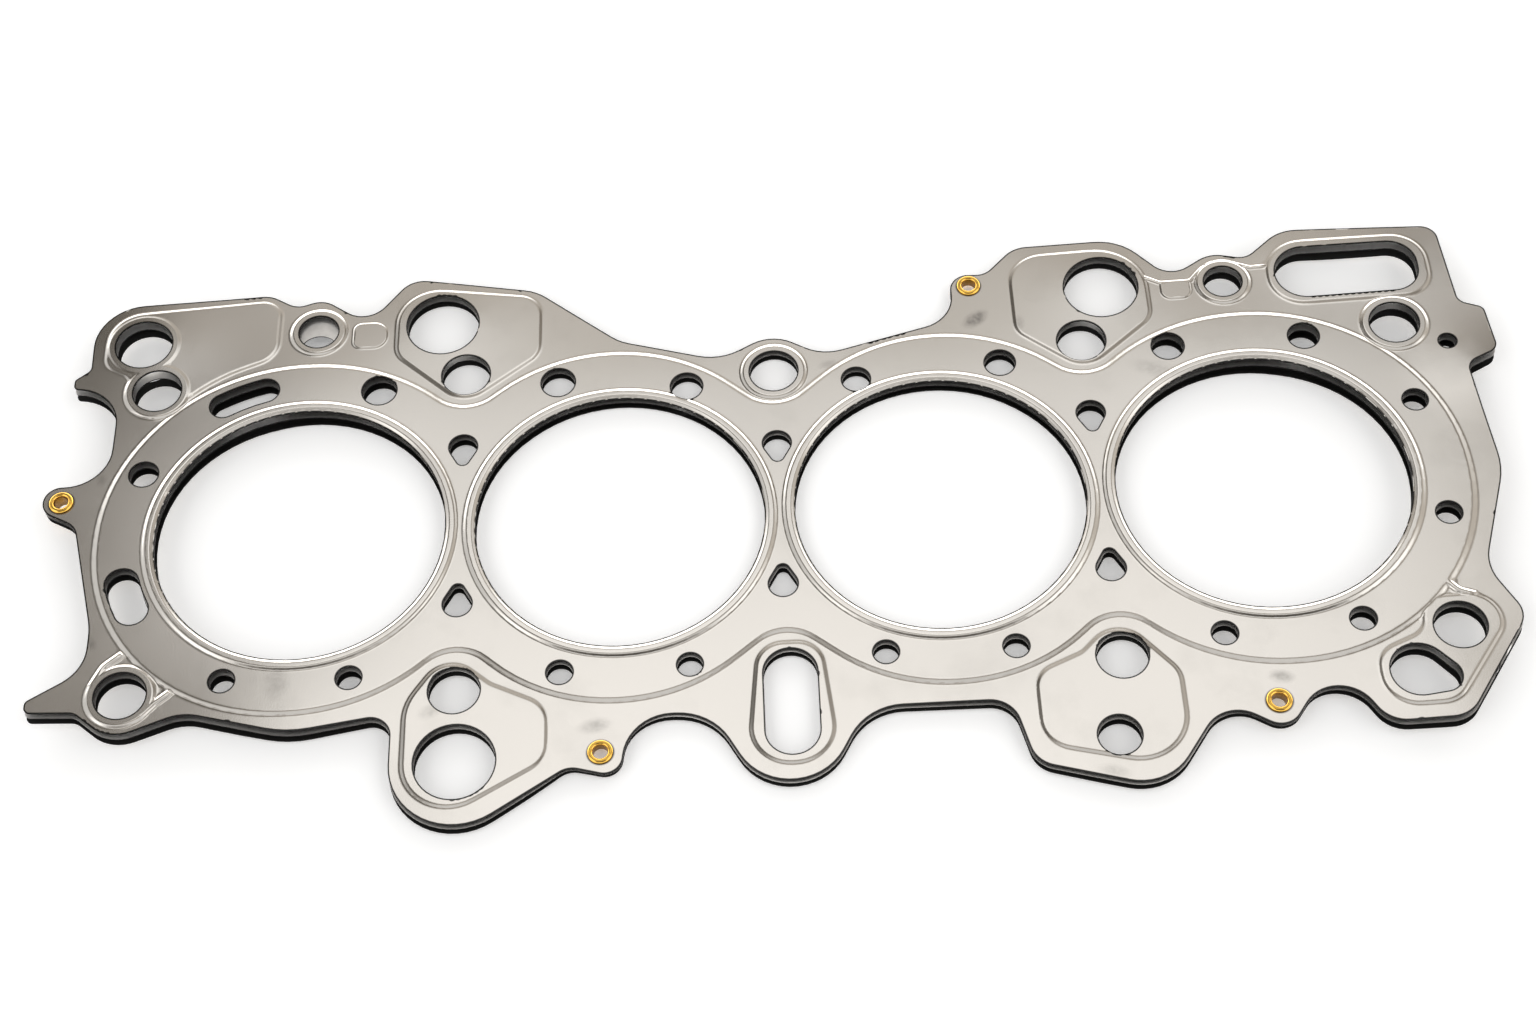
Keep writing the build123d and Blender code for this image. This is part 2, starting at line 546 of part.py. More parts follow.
for name, place in EYELETS.items():
    with BuildPart() as eyelet:
        with BuildSketch(Plane.XZ):
            with BuildLine():
                Polyline(
                    (EYELET_HOLE_R, FOOT_Z),
                    (EYELET_COLLAR_R, FOOT_Z),
                    (EYELET_COLLAR_R, LOWER_FACE),
                    (BARREL_R, LOWER_FACE),
                    (BARREL_R, UPPER_FACE),
                    (EYELET_COLLAR_R, UPPER_FACE),
                    (EYELET_COLLAR_R, UPPER_FACE + EYELET_COLLAR_H),
                    (EYELET_HOLE_R, UPPER_FACE + EYELET_COLLAR_H),
                    close=True,
                )
            make_face()
        revolve(axis=Axis.Z)
        rims = eyelet.edges().filter_by(GeomType.CIRCLE).group_by(Axis.Z)
        fillet(rims[0] + rims[-1], EYELET_ROUND)
    placed = eyelet.part.moved(Location((*place, 0)))
    placed.label = name
    export_step(placed, f"parts/{name}.step")
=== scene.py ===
"""Looks of the layered head gasket: smooth beads, sprung layers, satin steel and brass."""
import math

import bmesh
import bpy
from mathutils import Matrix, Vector
from mathutils.bvhtree import BVHTree
from mathutils.geometry import delaunay_2d_cdt


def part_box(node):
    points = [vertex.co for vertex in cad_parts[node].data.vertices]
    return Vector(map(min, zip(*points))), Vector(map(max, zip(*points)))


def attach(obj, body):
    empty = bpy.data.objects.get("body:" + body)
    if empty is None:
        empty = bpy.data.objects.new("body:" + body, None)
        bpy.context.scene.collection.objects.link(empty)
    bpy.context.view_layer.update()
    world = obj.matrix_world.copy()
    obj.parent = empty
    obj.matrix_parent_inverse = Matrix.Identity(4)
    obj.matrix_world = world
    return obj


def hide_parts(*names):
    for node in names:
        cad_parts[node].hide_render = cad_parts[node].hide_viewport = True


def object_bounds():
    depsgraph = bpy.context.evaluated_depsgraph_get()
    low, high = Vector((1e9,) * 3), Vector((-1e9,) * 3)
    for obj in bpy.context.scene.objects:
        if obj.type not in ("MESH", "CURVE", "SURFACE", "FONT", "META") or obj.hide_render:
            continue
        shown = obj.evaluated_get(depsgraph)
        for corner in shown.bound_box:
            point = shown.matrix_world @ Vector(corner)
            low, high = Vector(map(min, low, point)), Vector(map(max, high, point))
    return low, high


MM = 0.001

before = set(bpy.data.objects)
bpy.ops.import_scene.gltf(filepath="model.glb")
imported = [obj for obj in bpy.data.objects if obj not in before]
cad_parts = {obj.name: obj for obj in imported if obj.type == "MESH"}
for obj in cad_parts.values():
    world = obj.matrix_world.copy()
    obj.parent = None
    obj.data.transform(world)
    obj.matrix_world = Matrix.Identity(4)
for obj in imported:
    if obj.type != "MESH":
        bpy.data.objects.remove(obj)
START_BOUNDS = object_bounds()

# ---- how the unclamped layers stand, in millimetres -----------------------------

BOW_REACH = 200.0            # the ends lift by BOW at this distance from the middle
BOW = {"upper": 5.0, "spacer": 4.0, "lower": 3.0}
# Places where the layers spring apart: x, y, reach along x, reach along y, opening.
SPRING = [
    (-135, 46, 40, 24, 2.2), (-45, 46, 30, 22, 1.2), (45, 46, 30, 22, 1.2),
    (135, 46, 40, 24, 2.2), (-140, -62, 36, 20, 2.2), (0, -78, 20, 22, 1.2),
    (52, -68, 26, 18, 1.8), (-185, 66, 20, 18, 2.0), (-97, 74, 20, 16, 1.8),
    (98, 74, 18, 16, 1.8), (168, 78, 30, 16, 1.8), (176, -66, 18, 14, 1.2),
    (199, 34, 12, 12, 1.8), (85, -80, 14, 10, 0.8), (-88, -84, 20, 14, 1.0),
]
# How much of an opening each layer takes, up or down.
SHARE = {"upper": 0.25, "spacer": -0.25, "lower": -0.8}
# The lower layers have slipped forwards under the upper one, away from the eyelets.
SLIP = {"upper": 0.0, "spacer": -0.6, "lower": -1.2}
EYELET_REACH = 14.0          # an eyelet holds the layers together within about this far
EYELETS = ("eyelet_left", "eyelet_rear", "eyelet_front_left", "eyelet_front_right")


def centre_of(node):
    """The middle of a node's box in plan."""
    low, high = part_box(node)
    return (low.x + high.x) / 2 / MM, (low.y + high.y) / 2 / MM


HELD = [centre_of(node) for node in EYELETS]


def opening(x, y):
    """How far the layers spring apart at a place."""
    return sum(a * math.exp(-((x - cx) / rx) ** 2 - ((y - cy) / ry) ** 2)
               for cx, cy, rx, ry, a in SPRING)


def lift(layer, x, y):
    """How far a layer stands above its place in the frame."""
    return max(0.0, BOW[layer] * (x / BOW_REACH) ** 2 + SHARE[layer] * opening(x, y))


def slip(layer, x, y):
    """How far a layer has slipped along Y."""
    held = max(math.exp(-((x - hx) ** 2 + (y - hy) ** 2) / EYELET_REACH ** 2) for hx, hy in HELD)
    return SLIP[layer] * (1 - held)


# ---- reading a sheet from the frame, in millimetres -------------------------------

WELD = 0.002                 # points of the CAD mesh nearer than this become one
OUTWARD = 0.3                # the outer side's normals have more than this along Z,
UPRIGHT = 0.1                # and the normals of a cut edge have less
CREASE = math.radians(6)     # an edge of a bead bends by more than this
SHORTEST = 0.01              # edges shorter than this in plan are left out
BEAD_CELL = 1.5              # heights are evened out only in these cells, round bead edges
EVEN_RADII = (0.12, 0.26)    # circles around a point whose heights are taken in
EVEN_SAMPLES = 8             # places on each circle
RAY_START = 50.0             # rays start this far out


def welded(node):
    """The node's mesh as a bmesh in millimetres with its seams closed."""
    bm = bmesh.new()
    bm.from_mesh(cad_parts[node].data)
    bmesh.ops.scale(bm, vec=(1 / MM,) * 3, verts=bm.verts)
    bmesh.ops.remove_doubles(bm, verts=bm.verts, dist=WELD)
    bm.normal_update()
    return bm


def rims_and_creases(bm, up):
    """Cut edges and bead edges of the sheet's outer side, as pairs of plan points.

    A cut edge also has the direction into the sheet.
    """
    rims, creases = [], []
    for edge in bm.edges:
        if len(edge.link_faces) != 2:
            continue
        f, g = (face.normal.z * up for face in edge.link_faces)
        a, b = (vert.co.to_2d() for vert in edge.verts)
        if (a - b).length < SHORTEST:
            continue
        if max(f, g) > OUTWARD and abs(min(f, g)) < UPRIGHT:
            face = max(edge.link_faces, key=lambda face: face.normal.z * up)
            along = (b - a).normalized()
            inward = Vector((-along.y, along.x))
            if (face.calc_center_median().to_2d() - a).dot(inward) < 0:
                inward = -inward
            rims.append((a, b, inward))
        elif min(f, g) > OUTWARD and edge.calc_face_angle(0) > CREASE:
            creases.append((a, b))
    return rims, creases


def bead_cell(p):
    return round(p[0] / BEAD_CELL), round(p[1] / BEAD_CELL)


class OuterSide:
    """The outer side of a sheet, whose height is read at plan points."""

    def __init__(self, bm, up):
        index, corners, faces = {}, [], []
        for face in bm.faces:
            if face.normal.z * up > OUTWARD:
                for vert in face.verts:
                    if vert not in index:
                        index[vert] = len(corners)
                        corners.append(vert.co.copy())
                faces.append([index[vert] for vert in face.verts])
        self.tree = BVHTree.FromPolygons(corners, faces)
        self.level = corners[0].z
        self.start = RAY_START * up
        self.direction = Vector((0, 0, -up))

    def height(self, p):
        """The height at a plan point, or None where the sheet isn't."""
        hit = self.tree.ray_cast(Vector((p[0], p[1], self.start)), self.direction)[0]
        return None if hit is None else hit.z

    def even_height(self, p, bead_cells):
        """The height at a plan point, rounded off near the bead edges."""
        here = self.height(p)
        column, row = bead_cell(p)
        around = [(column + i, row + j) for i in (-1, 0, 1) for j in (-1, 0, 1)]
        if here is not None and not any(cell in bead_cells for cell in around):
            return here
        found = [] if here is None else [here] * 2
        for radius in EVEN_RADII:
            for k in range(EVEN_SAMPLES):
                t = 2 * math.pi * k / EVEN_SAMPLES
                z = self.height((p[0] + radius * math.cos(t), p[1] + radius * math.sin(t)))
                if z is not None:
                    found.append(z)
        if found:
            return sum(found) / len(found)
        return self.tree.find_nearest(Vector((p[0], p[1], self.level)))[0].z


# ---- the plan of a sheet, in millimetres -------------------------------------------

RIM_W = 0.55                 # painted shade: a dark band along every cut edge
ROW_GAP = 0.3                # rows of points beside a bead edge stand this far apart
# Rows beside a bead edge: how many gaps out, and the gaps kept free round their points.
ROWS = ((-1, 0.7), (1, 0.7), (-2, 1.8), (2, 1.8))
LINE_STEP = 0.15             # samples along an edge that keep points away from it
RIM_ROW_FREE = 0.8 * RIM_W   # free space of the row inside a rim, from other points
RIM_LINE_FREE = 0.6 * RIM_W  # and from the edges
FIELD_FREE = 0.5             # free space of the points that fill the field
FIELD_X = (-210.0, 210.0)
FIELD_Y = (-94.0, 92.0)
CELL = 0.5                   # cells in which near points are looked up
SAME_PLACE = 2               # decimals in which two points count as one
MERGE = 1e-5                 # the triangulation joins points nearer than this


def split(a, b, step):
    """Points from a to b at most step apart, both ends included."""
    n = max(1, math.ceil((b - a).length / step))
    return [a.lerp(b, i / n) for i in range(n + 1)]


def cell_of(p):
    return int(p[0] // CELL), int(p[1] // CELL)


def in_cells(points):
    """Points sorted into the cells that they lie in."""
    cells = {}
    for p in points:
        cells.setdefault(cell_of(p), []).append(p)
    return cells


def is_clear(p, gap, cells):
    """Whether the cells around a point hold none that is nearer than the gap."""
    column, row = cell_of(p)
    near = (q for i in (-1, 0, 1) for j in (-1, 0, 1) for q in cells.get((column + i, row + j), ()))
    return all((q - p).length >= gap for q in near)


class Plan:
    """Plan points, each held once, and the edges that the triangles keep."""

    def __init__(self):
        self.points, self.edges, self.index = [], [], {}

    def add(self, p):
        """The number of a point, a new one unless a point is there already."""
        key = (round(p[0], SAME_PLACE), round(p[1], SAME_PLACE))
        if key not in self.index:
            self.index[key] = len(self.points)
            self.points.append(p)
        return self.index[key]

    def tie(self, run):
        """Keep the edges along a run of points, which None interrupts."""
        self.edges += [(i, j) for i, j in zip(run, run[1:]) if None not in (i, j) and i != j]


def field_points(step):
    """Staggered points all over the field."""
    for column in range(math.ceil((FIELD_X[1] - FIELD_X[0]) / step)):
        for row in range(math.ceil((FIELD_Y[1] - FIELD_Y[0]) / step)):
            stagger = step / 2 if row % 2 else 0
            yield Vector((FIELD_X[0] + column * step + stagger, FIELD_Y[0] + row * step))


def sheet_plan(side, rims, creases, rim_step, bead_step, field_step):
    """The plan of a sheet, and how many of its points lie on the rims."""
    plan = Plan()
    inner_row = []
    for a, b, inward in rims:
        places = split(a, b, rim_step)
        plan.tie([plan.add(p) for p in places])
        inner_row += [p + inward * RIM_W for p in places]
    rim_count = len(plan.points)
    for a, b in creases:
        plan.tie([plan.add(p) for p in split(a, b, bead_step)])

    all_lines = [(a, b) for a, b, _ in rims] + creases
    lines = in_cells(p for a, b in all_lines for p in split(a, b, LINE_STEP))

    def fits(p, gap):
        return is_clear(p, gap, lines) and side.height(p) is not None

    # Rows beside a bead edge are tied into lines, which keeps the bead's shading even.
    for a, b in creases:
        along = (b - a).normalized()
        across = Vector((-along.y, along.x))
        for gaps_out, gaps_free in ROWS:
            places = [p + across * gaps_out * ROW_GAP for p in split(a, b, bead_step)]
            plan.tie([plan.add(p) if fits(p, gaps_free * ROW_GAP) else None for p in places])

    cells = in_cells(plan.points)
    for p in inner_row:
        if is_clear(p, RIM_ROW_FREE, cells) and fits(p, RIM_LINE_FREE):
            plan.add(p)
            cells.setdefault(cell_of(p), []).append(p)
    for p in field_points(field_step):
        if is_clear(p, FIELD_FREE, cells) and side.height(p) is not None:
            plan.add(p)
    return plan, rim_count


def sheet_shape(node, up, rim_step, bead_step, field_step):
    """Plan points, triangles, evened outer heights and which points lie on a rim."""
    bm = welded(node)
    rims, creases = rims_and_creases(bm, up)
    side = OuterSide(bm, up)
    bm.free()
    plan, rim_count = sheet_plan(side, rims, creases, rim_step, bead_step, field_step)
    result = delaunay_2d_cdt(plan.points, plan.edges, [], 0, MERGE)
    points, faces, origins = result[0], result[2], result[3]
    on_rim = [any(i < rim_count for i in origin) for origin in origins]
    kept = []
    for face in faces:
        middle = sum((points[i] for i in face), Vector((0, 0))) / len(face)
        if side.height(middle) is not None:
            kept.append(face)
    bead_cells = {bead_cell(p) for a, b in creases for p in split(a, b, bead_step)}
    heights = [side.even_height(p, bead_cells) for p in points]
    return points, kept, heights, on_rim


# ---- the sheets' meshes ---------------------------------------------------------------

FLAT_TRIANGLE = 1e-9         # triangles with less than this as twice their area are left out
EDGE_SLOT = 1                # material slots of a sheet: outer side 0, cut edge, inner side
INNER_SLOT = 2


def new_object(name, bm):
    """An object in the scene from a bmesh in metres, its faces turned outwards."""
    bmesh.ops.recalc_face_normals(bm, faces=bm.faces)
    mesh = bpy.data.meshes.new(name)
    bm.to_mesh(mesh)
    bm.free()
    obj = bpy.data.objects.new(name, mesh)
    bpy.context.scene.collection.objects.link(obj)
    return obj


def add_wall(bm, tops, bottoms, a, b):
    """The cut edge between two neighbouring points of the rim."""
    wall = bm.faces.new([tops[b], tops[a], bottoms[a], bottoms[b]])
    wall.smooth = True
    wall.material_index = EDGE_SLOT
    upper = (tops[a], tops[b])
    for edge in wall.edges:
        if (edge.verts[0] in upper) == (edge.verts[1] in upper):
            edge.smooth = False


def build_sheet(node, layer, up, thickness, steps):
    """A smooth copy of a sheet, sprung into its shape; it stands for the CAD node."""
    points, faces, heights, on_rim = sheet_shape(node, up, *steps)
    used = sorted({i for face in faces for i in face})
    place = {old: new for new, old in enumerate(used)}
    bm = bmesh.new()
    rim = bm.verts.layers.float.new("rim")
    tops, bottoms = [], []
    for i in used:
        x, y = points[i]
        z = heights[i] + lift(layer, x, y)
        y += slip(layer, x, y)
        tops.append(bm.verts.new((x * MM, y * MM, z * MM)))
        bottoms.append(bm.verts.new((x * MM, y * MM, (z - up * thickness) * MM)))
        for vert in (tops[-1], bottoms[-1]):
            vert[rim] = 1.0 if on_rim[i] else 0.0
    borders = {}
    for face in faces:
        ids = [place[i] for i in face]
        a, b, c = (points[i] for i in face)
        turn = (b - a).cross(c - a)
        if abs(turn) < FLAT_TRIANGLE:
            continue
        if turn * up < 0:
            ids.reverse()
        bm.faces.new([tops[i] for i in ids]).smooth = True
        inside = bm.faces.new([bottoms[i] for i in reversed(ids)])
        inside.smooth = True
        inside.material_index = INNER_SLOT
        for a, b in zip(ids, ids[1:] + ids[:1]):
            borders.setdefault((min(a, b), max(a, b)), []).append((a, b))
    for uses in borders.values():
        if len(uses) == 1:
            add_wall(bm, tops, bottoms, *uses[0])
    obj = new_object(node + "_sprung", bm)
    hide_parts(node)
    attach(obj, "root")
    return obj


# ---- material nodes -----------------------------------------------------------------


def new_material(name):
    mat = bpy.data.materials.new(name)
    mat.use_nodes = True
    nodes, links = mat.node_tree.nodes, mat.node_tree.links
    return mat, nodes, links, nodes["Principled BSDF"]


def noise(nodes, links, coord, scale, detail, roughness):
    tex = nodes.new("ShaderNodeTexNoise")
    tex.inputs["Scale"].default_value = scale
    tex.inputs["Detail"].default_value = detail
    tex.inputs["Roughness"].default_value = roughness
    links.new(coord, tex.inputs["Vector"])
    return tex.outputs["Fac"]


def ramp(nodes, links, value, stops):
    """A colour ramp; each stop has a place and a level or a colour."""
    node = nodes.new("ShaderNodeValToRGB")
    elements = node.color_ramp.elements
    while len(elements) < len(stops):
        elements.new(0.5)
    for element, (at, level) in zip(elements, stops):
        element.position = at
        element.color = (*level, 1) if isinstance(level, tuple) else (level, level, level, 1)
    links.new(value, node.inputs["Fac"])
    return node.outputs["Color"]


def math_node(nodes, links, operation, *values):
    node = nodes.new("ShaderNodeMath")
    node.operation = operation
    for socket, value in zip(node.inputs, values):
        if isinstance(value, (int, float)):
            socket.default_value = value
        else:
            links.new(value, socket)
    return node.outputs[0]


def mix_color(nodes, links, factor, a, b):
    """Colour b over colour a; each may be a colour or a node's output."""
    node = nodes.new("ShaderNodeMix")
    node.data_type = "RGBA"
    for name, kind, value in (("Factor", "VALUE", factor), ("A", "RGBA", a), ("B", "RGBA", b)):
        socket = next(s for s in node.inputs if s.name == name and s.type == kind)
        if isinstance(value, tuple):
            socket.default_value = (*value, 1)
        else:
            links.new(value, socket)
    return next(s for s in node.outputs if s.type == "RGBA")


def multiplied(nodes, links, a, b):
    """The product of two colours."""
    node = nodes.new("ShaderNodeVectorMath")
    node.operation = "MULTIPLY"
    links.new(a, node.inputs[0])
    links.new(b, node.inputs[1])
    return node.outputs["Vector"]


def map_range(nodes, links, value, limits):
    """A value mapped between the limits given by the sockets' names."""
    node = nodes.new("ShaderNodeMapRange")
    for name, limit in limits.items():
        node.inputs[name].default_value = limit
    links.new(value, node.inputs["Value"])
    return node


def spots(nodes, links, coord, places, core):
    """A soft mask of spots, full out to the core's share of their reach.

    Each has x, y, reach along x, reach along y, turn in degrees and strength.
    """
    total = None
    for x, y, rx, ry, turn, strength in places:
        mapping = nodes.new("ShaderNodeMapping")
        mapping.vector_type = "TEXTURE"
        mapping.inputs["Location"].default_value = (x * MM, y * MM, 0)
        mapping.inputs["Rotation"].default_value = (0, 0, math.radians(turn))
        mapping.inputs["Scale"].default_value = (rx * MM, ry * MM, 1)
        links.new(coord, mapping.inputs["Vector"])
        length = nodes.new("ShaderNodeVectorMath")
        length.operation = "LENGTH"
        links.new(mapping.outputs["Vector"], length.inputs[0])
        fall = map_range(nodes, links, length.outputs["Value"],
                         {"From Min": core, "From Max": 1.0, "To Min": strength, "To Max": 0.0})
        fall.interpolation_type = "SMOOTHSTEP"
        spot = fall.outputs["Result"]
        total = spot if total is None else math_node(nodes, links, "MAXIMUM", total, spot)
    return total


# ---- materials ------------------------------------------------------------------------

# Noise patterns: scale, detail and roughness.
CLOUDS = (14.0, 3.0, 0.5)
BLOTCHES = (45.0, 4.0, 0.6)
GRAIN = (2600.0, 2.0, 0.7)
SCUFFS = (420.0, 4.0, 0.65)
MOTTLE = (300.0, 3.0, 0.5)
# The darker tone of clouds and mottle, as a share of the base colour.
CLOUD_SHADE = 0.95
MOTTLE_SHADE = 0.88
# How much of a tone a pattern brings in, at values of the pattern.
BLOTCH_AMOUNT = [(0.5, 0.0), (0.75, 0.16)]
SCUFF_AMOUNT = [(0.2, 0.2), (0.8, 1.0)]
# The rim's amount and tone paint shade along every cut edge.
RIM_SHADE_AMOUNT = [(0.15, 0.0), (0.5, 0.98)]
GRAIN_AMOUNT = 0.08
BLOTCH_TONE = (0.4, 0.38, 0.34)
GRAIN_TONE = (0.25, 0.24, 0.23)
SMUDGE_TONE = (0.07, 0.065, 0.06)
# painted shade of the eyelet collars on the sheet
COLLAR_PAINTED_SHADE_TONE = (0.03, 0.027, 0.024)
# painted shade along the cut edges
RIM_PAINTED_SHADE_TONE = (0.02, 0.02, 0.02)
SMOOTHER = 0.03              # clouds make the steel smoother or rougher by this much
ROUGHER = 0.05
BUMP_STRENGTH = 0.05
BUMP_HEIGHT = 0.0001

# Smudges on the upper sheet, as spots in millimetres.
SMUDGES = [
    (60, 62.5, 5.5, 3.2, 35, 0.9), (-52, -64.5, 6, 3, 10, 0.5), (131, -61.5, 4.5, 2.6, -10, 0.6),
    (16, 49.5, 4, 2, 10, 0.35), (72.5, 60, 2.5, 3.5, 0, 0.3), (110, 40, 10, 4, -20, 0.25),
    (-158, -30, 7, 4, 10, 0.3), (-138, -48, 5, 7, 0, 0.3), (-190, -33, 2, 4, 30, 0.35),
    (-96, -58, 5, 3, 30, 0.35), (-193, 20, 2, 3, 0, 0.3), (84, -86, 6, 2.5, -15, 0.3),
]
SMUDGE_CORE = 0.1
# Painted shade: a dark ring round each eyelet's collar, where the collar shades the sheet.
COLLAR_SHADE_R = 4.1
COLLAR_SHADE_STRENGTH = 0.9
COLLAR_SHADE_CORE = 0.84
COLLAR_SHADES = [(x, y, COLLAR_SHADE_R, COLLAR_SHADE_R, 0, COLLAR_SHADE_STRENGTH) for x, y in HELD]


def shaded(color, share):
    return tuple(c * share for c in color)


def steel(name, base, roughness, smudged_and_collar_shaded):
    """Satin sheet steel with clouds, blotches, a fine grain and painted shade along the rims; when asked,
    also smudges and painted shade round the eyelet collars.
    """
    mat, nodes, links, shader = new_material(name)
    coord = nodes.new("ShaderNodeTexCoord").outputs["Object"]
    cloud = noise(nodes, links, coord, *CLOUDS)
    blotch = noise(nodes, links, coord, *BLOTCHES)
    grain = noise(nodes, links, coord, *GRAIN)
    tone = ramp(nodes, links, cloud, [(0.3, shaded(base, CLOUD_SHADE)), (0.7, base)])
    blotch = ramp(nodes, links, blotch, BLOTCH_AMOUNT)
    tone = mix_color(nodes, links, blotch, tone, BLOTCH_TONE)
    grain_mask = math_node(nodes, links, "MULTIPLY", grain, GRAIN_AMOUNT)
    tone = mix_color(nodes, links, grain_mask, tone, GRAIN_TONE)
    if smudged_and_collar_shaded:
        mask = spots(nodes, links, coord, SMUDGES, SMUDGE_CORE)
        scuff = ramp(nodes, links, noise(nodes, links, coord, *SCUFFS), SCUFF_AMOUNT)
        mask = math_node(nodes, links, "MULTIPLY", mask, scuff)
        tone = mix_color(nodes, links, mask, tone, SMUDGE_TONE)
        # Painted shade: a dark ring round each eyelet collar.
        mask = spots(nodes, links, coord, COLLAR_SHADES, COLLAR_SHADE_CORE)
        tone = mix_color(nodes, links, mask, tone, COLLAR_PAINTED_SHADE_TONE)
    # Painted shade along every cut edge, read from the rim attribute.
    rim = nodes.new("ShaderNodeAttribute")
    rim.attribute_name = "rim"
    dark = ramp(nodes, links, rim.outputs["Fac"], RIM_SHADE_AMOUNT)
    tone = mix_color(nodes, links, dark, tone, RIM_PAINTED_SHADE_TONE)
    links.new(tone, shader.inputs["Base Color"])
    shader.inputs["Metallic"].default_value = 1.0
    rough = map_range(nodes, links, cloud, {"To Min": roughness - SMOOTHER, "To Max": roughness + ROUGHER})
    links.new(rough.outputs["Result"], shader.inputs["Roughness"])
    bump = nodes.new("ShaderNodeBump")
    bump.inputs["Strength"].default_value = BUMP_STRENGTH
    bump.inputs["Distance"].default_value = BUMP_HEIGHT
    links.new(grain, bump.inputs["Height"])
    links.new(bump.outputs["Normal"], shader.inputs["Normal"])
    return mat


def plain(name, color, metallic, roughness, specular=0.5):
    """A lightly mottled surface of one colour."""
    mat, nodes, links, shader = new_material(name)
    coord = nodes.new("ShaderNodeTexCoord").outputs["Object"]
    mottle = noise(nodes, links, coord, *MOTTLE)
    tone = ramp(nodes, links, mottle, [(0.35, shaded(color, MOTTLE_SHADE)), (0.65, color)])
    links.new(tone, shader.inputs["Base Color"])
    shader.inputs["Metallic"].default_value = metallic
    shader.inputs["Roughness"].default_value = roughness
    shader.inputs["Specular IOR Level"].default_value = specular
    return mat


SHEET_STEEL = steel("sheet_steel", (0.8, 0.76, 0.705), 0.14, True)
LOWER_STEEL = steel("lower_sheet_steel", (0.6, 0.57, 0.53), 0.32, False)
# Painted shade: the cut edges are near black, for the shade along the edges and in the gaps between the
# layers.
CUT_EDGE_PAINTED_SHADE = plain("cut_edge", (0.008, 0.008, 0.007), 0.0, 0.5, 0.1)
LOWER_EDGE_PAINTED_SHADE = plain("lower_cut_edge", (0.012, 0.011, 0.011), 0.0, 0.5, 0.1)
# Painted light: the spacer's top is paler than the other steel, to lift it where the upper sheet shades it.
SPACER_STEEL_PAINTED_LIGHT = plain("spacer_steel", (0.92, 0.9, 0.87), 1.0, 0.4)
# Painted shade: the sheets' inner sides are near black, for the shade between the layers.
INNER_SIDE_PAINTED_SHADE = plain("inner_side_painted_shade", (0.012, 0.012, 0.011), 0.0, 0.6, 0.1)
BRASS = plain("eyelet_brass", (0.95, 0.56, 0.11), 1.0, 0.16)
# Painted shade: the eyelet hole's wall is a darker copy of the brass, for the shade inside the hole.
BRASS_INSIDE_PAINTED_SHADE = plain("eyelet_inside_painted_shade", (0.36, 0.19, 0.03), 1.0, 0.3)

# ---- the sheets ----------------------------------------------------------------------

# Node, layer, outer side up or down, thickness, steps between points along the rims,
# along the beads and in the field, materials of outer side and cut edge, slot.
SHEETS = [
    ("upper_beaded_sheet", "upper", 1, 0.3, (2.0, 2.0, 6.0), SHEET_STEEL, CUT_EDGE_PAINTED_SHADE, "bead_steel"),
    ("spacer_sheet", "spacer", 1, 0.4, (2.5, 2.5, 8.0), SPACER_STEEL_PAINTED_LIGHT, LOWER_EDGE_PAINTED_SHADE, "spacer_steel"),
    ("lower_beaded_sheet", "lower", -1, 0.3, (2.5, 3.0, 7.0), LOWER_STEEL, LOWER_EDGE_PAINTED_SHADE, "bead_steel"),
]
for node, layer, up, thickness, steps, material, edge, slot in SHEETS:
    sheet = build_sheet(node, layer, up, thickness, steps)
    # Outer side, cut edge and inner side; the last two are near-black painted shade.
    for each in (material, edge, INNER_SIDE_PAINTED_SHADE):
        sheet.data.materials.append(each)

# ---- eyelets, in millimetres ------------------------------------------------------------

HOLE_R = 2.05
BARREL_R = 2.5
COLLAR_R = 3.45              # the collar above and the foot below
FOOT_H = 0.6
FOOT_INNER_ROUND = 0.2       # the foot's bevels: at the hole, outside below, outside above
FOOT_OUTER_ROUND = 0.25
FOOT_TOP_ROUND = 0.1
BARREL_TOP = 0.85            # below the collar's top: where the barrel ends,
ROLL_MIDDLE = 0.55           # the middle of the rolled collar, which is also its half height,
ROLL_END = 1.2               # and where the roll ends inside the hole
ROLL_ANGLES = range(-60, 181, 20)        # degrees round the roll, from the barrel to the hole
TURNS = 48                   # points round an eyelet


def eyelet_profile(foot, top):
    """Radius and height of the points from the hole's lower end round to its upper end."""
    roll = (COLLAR_R - HOLE_R) / 2
    middle = HOLE_R + roll
    profile = [
        (HOLE_R, foot + FOOT_INNER_ROUND),
        (HOLE_R + FOOT_INNER_ROUND, foot),
        (COLLAR_R - FOOT_OUTER_ROUND, foot),
        (COLLAR_R, foot + FOOT_OUTER_ROUND),
        (COLLAR_R, foot + FOOT_H - FOOT_TOP_ROUND),
        (COLLAR_R - FOOT_TOP_ROUND, foot + FOOT_H),
        (BARREL_R, foot + FOOT_H),
        (BARREL_R, top - BARREL_TOP),
    ]
    for angle in ROLL_ANGLES:
        t = math.radians(angle)
        profile.append((middle + roll * math.cos(t), top - ROLL_MIDDLE + ROLL_MIDDLE * math.sin(t)))
    profile.append((HOLE_R, top - ROLL_END))
    return profile


